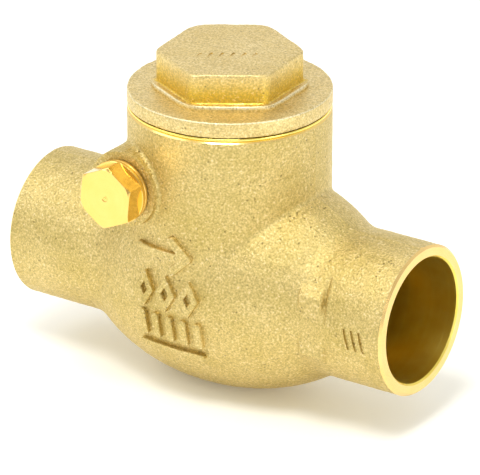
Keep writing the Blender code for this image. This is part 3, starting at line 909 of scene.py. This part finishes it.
def cap_outline():
    """Flange, low plinth and domed hexagon, from the flange's underside to the middle of the top."""
    half = CAP_HEX / 2
    step_r = half + PLINTH_REACH
    plinth = hexagon(CAP_HEX_TURN, PLINTH_CORNER_R, 0.8)
    flange = soften([(0, FLANGE_BOTTOM, circle), (FLANGE_R, FLANGE_BOTTOM, circle),
                     (FLANGE_R, FLANGE_TOP, circle), (step_r, FLANGE_TOP, plinth)], 0.35)[:-1]
    lip = soften([(step_r, FLANGE_TOP, plinth), (step_r, PLINTH_TOP, plinth),
                  (half + 0.2, PLINTH_TOP, plinth)], 0.7, 5)
    edge = CAP_TOP - CAP_DOME * half ** 2
    crown = [(radius, CAP_TOP - CAP_DOME * radius ** 2, circle) for radius in (9.5, 7.5, 5.5, 3.5, 2)]
    return flange + lip + hexagon_sides(half, edge) + crown + [(0, CAP_TOP)]


def hexagon_sides(half, edge):
    """The hexagon's sides, and the bevel that is turned round its upper edge in a quarter arc."""
    head = hexagon(CAP_HEX_TURN, CAP_HEX_CORNER_R, 0.3)
    sides = [(half, height, head) for height in np.linspace(PLINTH_TOP + 0.2, edge - 0.7, 8)]
    for angle in np.linspace(0, math.pi / 2, 6):
        inwards = 1 - math.cos(angle)
        corner_r = CAP_HEX_CORNER_R - (CAP_HEX_CORNER_R - CAP_HEX_BEVEL_R) * inwards
        bevel = hexagon(CAP_HEX_TURN, corner_r, 0.3 + 0.6 * angle / math.pi)
        sides.append((half - 0.3 * inwards, edge - 0.45 * (1 - math.sin(angle)), bevel))
    return sides


def tilt_top(obj):
    """The cap's top was cast a little higher at the back than at the front."""
    back = Vector((-math.sin(HEX_FACING), math.cos(HEX_FACING)))
    top = CAP_TOP + ORIGIN.z
    for vertex in obj.data.vertices:
        share = ramp(vertex.co.z, top - 5, top - 1)
        vertex.co.z += CAP_LEAN * share * vertex.co.xy.dot(back)
    return obj


def roughen(obj, amount):
    """Give a lathe-smooth piece the slight unevenness of a casting, amount times the usual."""
    points = np.empty(3 * len(obj.data.vertices))
    normals = np.empty_like(points)
    obj.data.vertices.foreach_get("co", points)
    obj.data.vertices.foreach_get("normal", normals)
    x, y, z = points.reshape(-1, 3).T
    points += normals * np.repeat(amount * unevenness(x, y, z), 3)
    obj.data.vertices.foreach_set("co", points)
    return obj


def cap_facing():
    """Faces the flange's underside outside the spigot."""
    return turned_ring("facing_tool", SPIGOT_R - 0.5, FLANGE_R + 2, CAP_FACE - 2, CAP_FACE, 0.0, NECK_CUT,
                       UP, NO_OFFSET)


def spigot():
    """The threaded part of the cap, rooted a little way up in the flange."""
    lead = 0.8
    root_r = SPIGOT_R - 0.5
    thread_low, thread_high = SPIGOT_END + lead, CAP_FACE - 0.6
    rule = thread(CAP_PITCH, -0.7, thread_low, thread_high)
    outline = [(0, CAP_FACE + 1.2), (root_r, CAP_FACE + 1.2), (root_r, CAP_FACE - 0.3)]
    outline += stretch(SPIGOT_R, thread_high, thread_low, CAP_PITCH / 8, rule)
    outline += [(SPIGOT_R - lead, SPIGOT_END), (0, SPIGOT_END)]
    return turned("spigot", outline, NECK_CUT)


def cap_hollow():
    """Cored space inside the spigot, running up into the hexagon."""
    below = SPIGOT_END - 1
    outline = [(0, below), (SPIGOT_BORE_R, below), (SPIGOT_BORE_R, CAP_FACE),
               (SPIGOT_BORE_R - 1.5, CAP_FACE), (CAP_HOLLOW_TIP_R, CAP_HOLLOW_END), (0, CAP_HOLLOW_END)]
    return turned("hollow_tool", soften(outline, 1.0), CAP_CAST)


def bonnet():
    cap = turned("cap", cap_outline(), CAP_CAST, segments=2 * ROUND)
    roughen(tilt_top(cap), 1.5)
    combine(cap, cap_facing(), "DIFFERENCE")
    combine(cap, spigot(), "UNION")
    combine(cap, cap_hollow(), "DIFFERENCE")
    punch_cap(cap)
    return done(cap, "cap", "bonnet_cap")


def punch_cap(cap):
    """A short row of slanting strokes near the front of the cap's top."""
    along = Vector((math.cos(HEX_FACING), math.sin(HEX_FACING), 0))
    forward = Vector((math.sin(HEX_FACING), -math.cos(HEX_FACING), 0))
    row = 2.9
    depth = CAP_LEAN * row + 0.14
    for step in range(6):
        place = along * (-5.2 + 1.9 * step) + forward * row + UP * CAP_TOP
        punch(cap, 0.2, 0.9, depth, CAP_CAST, UP, place, HEX_FACING - 0.35)


def seal():
    ring = turned_ring("seal", NECK_BORE_R + 0.3, NECK_R - 0.05, SEAL_BOTTOM - 0.05, SEAL_TOP + 0.03, 0.2,
                       SEAL_METAL, UP, NO_OFFSET)
    return done(ring, "cap_thread", "bonnet_gasket")


# -------------------- plug, washer and pin

def plug():
    """Threaded shank, round collar and polished hexagon with a turned face and a centre mark."""
    collar_bottom = -WASHER_LOW.y + SEAL_GAP
    collar_top = collar_bottom + COLLAR_THICK
    shank_end = -PLUG_HIGH.y
    half = PLUG_HEX / 2
    head = hexagon(PLUG_HEX_TURN, PLUG_HEX_CORNER_R, 0.06)
    rule = thread(PLUG_PITCH, -0.45, shank_end + 0.5, collar_bottom - 0.4)
    shank = [(0, shank_end), (PLUG_SHANK_R - 0.5, shank_end)]
    shank += stretch(PLUG_SHANK_R, shank_end + 0.5, collar_bottom - 0.3, PLUG_PITCH / 8, rule)
    collar = soften([(PLUG_SHANK_R, collar_bottom, circle), (COLLAR_R, collar_bottom, circle),
                     (COLLAR_R, collar_top, circle), (half, collar_top, head)], 0.22)[:-1]
    outline = shank + collar + [(half, collar_top, head), (half, collar_top + 0.3, head)]
    outline += plug_face(half, -PLUG_LOW.y, head)
    piece = turned("plug", outline, POLISHED, SIDE, HINGE, 2 * ROUND)
    return done(piece, "plug", "hinge_pin_plug", 24)


def plug_face(half, face, head):
    """Upper part of the plug's hexagon: 30 degree bevel, flat face and a small centre mark."""
    bevel_run = PLUG_HEX_CORNER_R - PLUG_HEX_FACE_R
    drop = bevel_run * math.tan(math.radians(30))
    outline = [(half, face - drop - 0.08, head)]
    for share in np.linspace(0, 1, 6):
        bevel = hexagon(PLUG_HEX_TURN, PLUG_HEX_CORNER_R - share * bevel_run, 0.05)
        outline.append((half, face - drop * (1 - share) - 0.06, bevel))
    top = hexagon(PLUG_HEX_TURN, PLUG_HEX_FACE_R - 0.08, 0.05)
    return outline + [(half - 0.07, face, top), (3.5, face), (0.6, face), (0.45, face - 0.08),
                      (0.3, face - 0.08), (0.2, face - 0.02), (0, face - 0.02)]


def washer_under_plug():
    bottom, top = -WASHER_HIGH.y, -WASHER_LOW.y
    ring = turned_ring("plug_ring", PLUG_SHANK_R + SEAL_GAP, PLUG_RING_R, bottom, top, 0.15,
                       WASHER_BRASS, SIDE, HINGE)
    return done(ring, "plug_thread", "plug_washer")


def pin():
    back, front = -PIN_HIGH.y, -PIN_LOW.y
    outline = soften([(0, back), (PIN_R, back), (PIN_R, front), (0, front)], 0.35)
    return done(turned("pin_rod", outline, STEEL, SIDE, HINGE, 96), "pin", "hinge_pin")


# -------------------- disc and hanger

def hanger_form(x, y, z):
    """Barrel round the pin, a tapered arm and an eye round the holder's stem."""
    barrel = np.hypot(x - HINGE.x, z - HINGE.z) - HINGE_BARREL_R
    barrel = smooth_max(barrel, abs(y) - HINGE_BARREL_HALF, 0.5)
    down = (x - SEAT.x) * SEAT_DOWN.x + (z - SEAT.z) * SEAT_DOWN.z
    off = abs(seat_distance(x, z) - HANGER_FACE - HANGER_THICK / 2) - HANGER_THICK / 2
    reach = (SEAT - HINGE).dot(SEAT_DOWN)
    taper = 3.5 + 1.1 * np.clip((down + reach) / reach, 0, 1)
    arm = smooth_max(np.maximum(abs(y) - taper, np.maximum(down, -reach - down)), off, 0.7)
    eye = smooth_max(np.hypot(down, y) - HANGER_EYE_R, off, 0.7)
    return smooth_min(smooth_min(barrel, arm, 1.2), eye, 0.8) + 0.5 * unevenness(x, y, z)


def hanger():
    reach = HANGER_EYE_R + 1
    low = (HINGE.x - 5, -reach, SEAT.z - 6)
    high = (SEAT.x + 12, reach, HINGE.z + 5)
    arm = solid_from("hanger_arm", hanger_form, low, high, CELL * 0.7, BRONZE)
    pin_hole = PIN_R + RUNNING_GAP
    wide = HINGE_BARREL_HALF + 2
    across = [(0, -wide), (pin_hole, -wide), (pin_hole, wide), (0, wide)]
    combine(arm, turned("pin_drill", across, SIDE_CUT, SIDE, HINGE, 96), "DIFFERENCE")
    stem_hole = STEM_R + RUNNING_GAP
    near, far = HANGER_FACE - 2, HANGER_FACE + HANGER_THICK + 2
    through = [(0, near), (stem_hole, near), (stem_hole, far), (0, far)]
    combine(arm, turned("stem_drill", through, SEAT_CUT, SEAT_NORMAL, SEAT, 96), "DIFFERENCE")
    return done(arm, "hanger", "disc_hanger")


def holder():
    """Shallow cup for the soft disc, its threaded stem behind and its threaded stud in front."""
    recess_r = DISC_R - HOLDER_RIM_WALL
    hanger_back = HANGER_FACE + HANGER_THICK
    stud = thread(SMALL_PITCH, -0.25, STUD_END + 0.3, 0.0)
    stem = thread(0.8, -0.3, hanger_back, STEM_END - 0.3)
    outline = [(0, STUD_END), (STUD_R - 0.3, STUD_END)]
    outline += stretch(STUD_R, STUD_END + 0.3, 0.0, 0.1, stud)
    outline += soften([(STUD_R, 0.2), (STUD_R, HOLDER_RECESS), (recess_r, HOLDER_RECESS),
                       (recess_r, HOLDER_RIM), (DISC_R, HOLDER_RIM), (DISC_R, HOLDER_BACK),
                       (STEM_R, HOLDER_BACK), (STEM_R, hanger_back - 0.2)], 0.3)
    outline += stretch(STEM_R, hanger_back, STEM_END - 0.4, 0.1, stem)
    outline += [(STEM_R - 0.4, STEM_END), (0, STEM_END)]
    piece = turned("holder", outline, STACK_BRASS, SEAT_NORMAL, SEAT, 128)
    return seat_piece(piece, "disc_holder")


def seat_piece(obj, node):
    return done(obj, "disc", node)


def seat_ring(name, inner, outer, bottom, top, edge, material, node):
    ring = turned_ring(name, inner, outer, bottom, top, edge, material, SEAT_NORMAL, SEAT)
    return seat_piece(ring, node)


def nut(name, across_flats, bottom, top, hole_r, turn, node):
    """A hexagon nut with both faces turned off at the corners and a threaded hole."""
    half = across_flats / 2
    corner_r = half / math.cos(math.pi / 6) + 0.1
    face_r = corner_r - 0.7
    drop = (corner_r - face_r) * math.tan(math.radians(30))
    rule = thread(SMALL_PITCH, 0.2, bottom + 0.2, top - 0.2)
    outline = stretch(hole_r, top - 0.2, bottom + 0.2, 0.1, rule) + [(hole_r + 0.3, bottom)]
    bevel = []
    for share in np.linspace(0, 1, 5):
        corner = hexagon(turn, face_r + share * (corner_r - face_r), 0.06)
        bevel.append((half - 0.08 * (1 - share), drop * share, corner))
    outline += [(radius, bottom + rise, corner) for radius, rise, corner in bevel]
    outline += [(radius, top - rise, corner) for radius, rise, corner in reversed(bevel)]
    outline.append((hole_r + 0.3, top))
    return seat_piece(turned(name, outline, STACK_BRASS, SEAT_NORMAL, SEAT), node)


def disc_stack():
    """Everything that hangs in the hanger's eye, from the holder out to the nuts on both sides."""
    holder()
    seat_ring("soft_disc", STUD_R + 0.3, DISC_R - HOLDER_RIM_WALL - 0.3, DISC_FACE,
              DISC_FACE + SOFT_DISC_THICK, 0.25, RUBBER, "seat_disc")
    clamp_top = DISC_FACE - SEAL_GAP
    clamp_bottom = clamp_top - CLAMP_WASHER_THICK
    seat_ring("clamp_ring", STUD_R + 0.3, CLAMP_WASHER_R, clamp_bottom, clamp_top, 0.2, STACK_BRASS,
              "seat_disc_washer")
    nut_top = clamp_bottom - SEAL_GAP
    nut("clamp_nut", SEAT_NUT_HEX, nut_top - SEAT_NUT_HEIGHT, nut_top, STUD_R + RUNNING_GAP, 0.2,
        "seat_disc_nut")
    washer_bottom = HANGER_FACE + HANGER_THICK + 0.3
    washer_top = washer_bottom + HANGER_WASHER_THICK
    seat_ring("stem_ring", STEM_R + SEAL_GAP, HANGER_WASHER_R, washer_bottom, washer_top, 0.2,
              STACK_BRASS, "hanger_washer")
    nut_bottom = washer_top + SEAL_GAP
    nut("stem_nut", HANGER_NUT_HEX, nut_bottom, nut_bottom + HANGER_NUT_HEIGHT, STEM_R + RUNNING_GAP,
        0.5, "hanger_nut")


casting()
bonnet()
seal()
plug()
washer_under_plug()
pin()
hanger()
disc_stack()


# -------------------- stage

def floor():
    """A pale sheet, in metres like everything else on the stage."""
    half = 3.0
    corners = [(-half, -half, 0), (half, -half, 0), (half, half, 0), (-half, half, 0)]
    stage = mesh_object("floor", corners, [(0, 1, 2, 3)], [floor_material()])


def floor_material():
    n = Nodes("pale_floor")
    n.shader.inputs["Roughness"].default_value = 0.5
    n.shader.inputs["Emission Color"].default_value = (1.0, 0.98, 0.86, 1)
    n.shader.inputs["Emission Strength"].default_value = 0.12
    n.link(n.mix(n.noise(90.0), (0.97, 0.97, 0.92), (0.98, 0.98, 0.94)), n.shader.inputs["Base Color"])
    return n.material


def area_light(name, place, size, power):
    """A square white light aimed a little above the pipe's axis, in metres and watts."""
    data = bpy.data.lights.new(name, "AREA")
    data.shape = "SQUARE"
    data.size = size
    data.energy = power
    light = bpy.data.objects.new(name, data)
    light.location = place
    aim = ORIGIN * MM + 0.01 * UP
    light.rotation_euler = (aim - light.location).to_track_quat("-Z", "Y").to_euler()
    bpy.context.scene.collection.objects.link(light)


def lights():
    """A white tent, brighter behind and beside the plug than in front of the outlet, with soft boxes."""
    world = bpy.data.worlds.new("studio")
    world.use_nodes = True
    tree = world.node_tree
    direction = tree.nodes.new("ShaderNodeTexCoord")
    facing = tree.nodes.new("ShaderNodeVectorMath")
    facing.operation = "DOT_PRODUCT"
    facing.inputs[1].default_value = Vector((-0.50, 0.60, 0.30)).normalized()
    level = tree.nodes.new("ShaderNodeMapRange")
    limits = {"From Min": -0.8, "From Max": 0.8, "To Min": 0.48, "To Max": 1.00}
    for key, number in limits.items():
        level.inputs[key].default_value = number
    tree.links.new(direction.outputs["Generated"], facing.inputs[0])
    tree.links.new(facing.outputs["Value"], level.inputs["Value"])
    tree.links.new(level.outputs["Result"], tree.nodes["Background"].inputs["Strength"])
    tree.nodes["Background"].inputs["Color"].default_value = (1.0, 1.0, 1.0, 1)
    bpy.context.scene.world = world
    area_light("key", (-0.45, -0.35, 0.55), 0.4, 1.0)
    area_light("top", (0.11, -0.30, 0.72), 0.24, 3.0)
    area_light("outlet", (0.75, -0.10, 0.10), 0.3, 1.2)


def camera():
    """Long lens, above and to the right of the plug, with the frame's middle a little off the axes."""
    azimuth, elevation = math.radians(34.73), math.radians(23.74)
    distance = 0.8829
    focal_in_widths = 5062 / 480
    away = Vector((math.sin(azimuth) * math.cos(elevation), -math.cos(azimuth) * math.cos(elevation),
                   math.sin(elevation)))
    right = Vector((math.cos(azimuth), math.sin(azimuth), 0))
    up = away.cross(right)
    place = ORIGIN * MM + distance * away
    aim = ORIGIN * MM + 0.00174 * right + 0.00518 * up
    sensor_width = 36
    data = bpy.data.cameras.new("camera")
    data.sensor_width = sensor_width
    data.lens = sensor_width * focal_in_widths
    data.clip_end = 20
    obj = bpy.data.objects.new("camera", data)
    obj.location = place
    obj.rotation_euler = (aim - place).to_track_quat("-Z", "Y").to_euler()
    bpy.context.scene.collection.objects.link(obj)
    bpy.context.scene.camera = obj
    bpy.context.scene.view_settings.view_transform = "Standard"


floor()
lights()
camera()
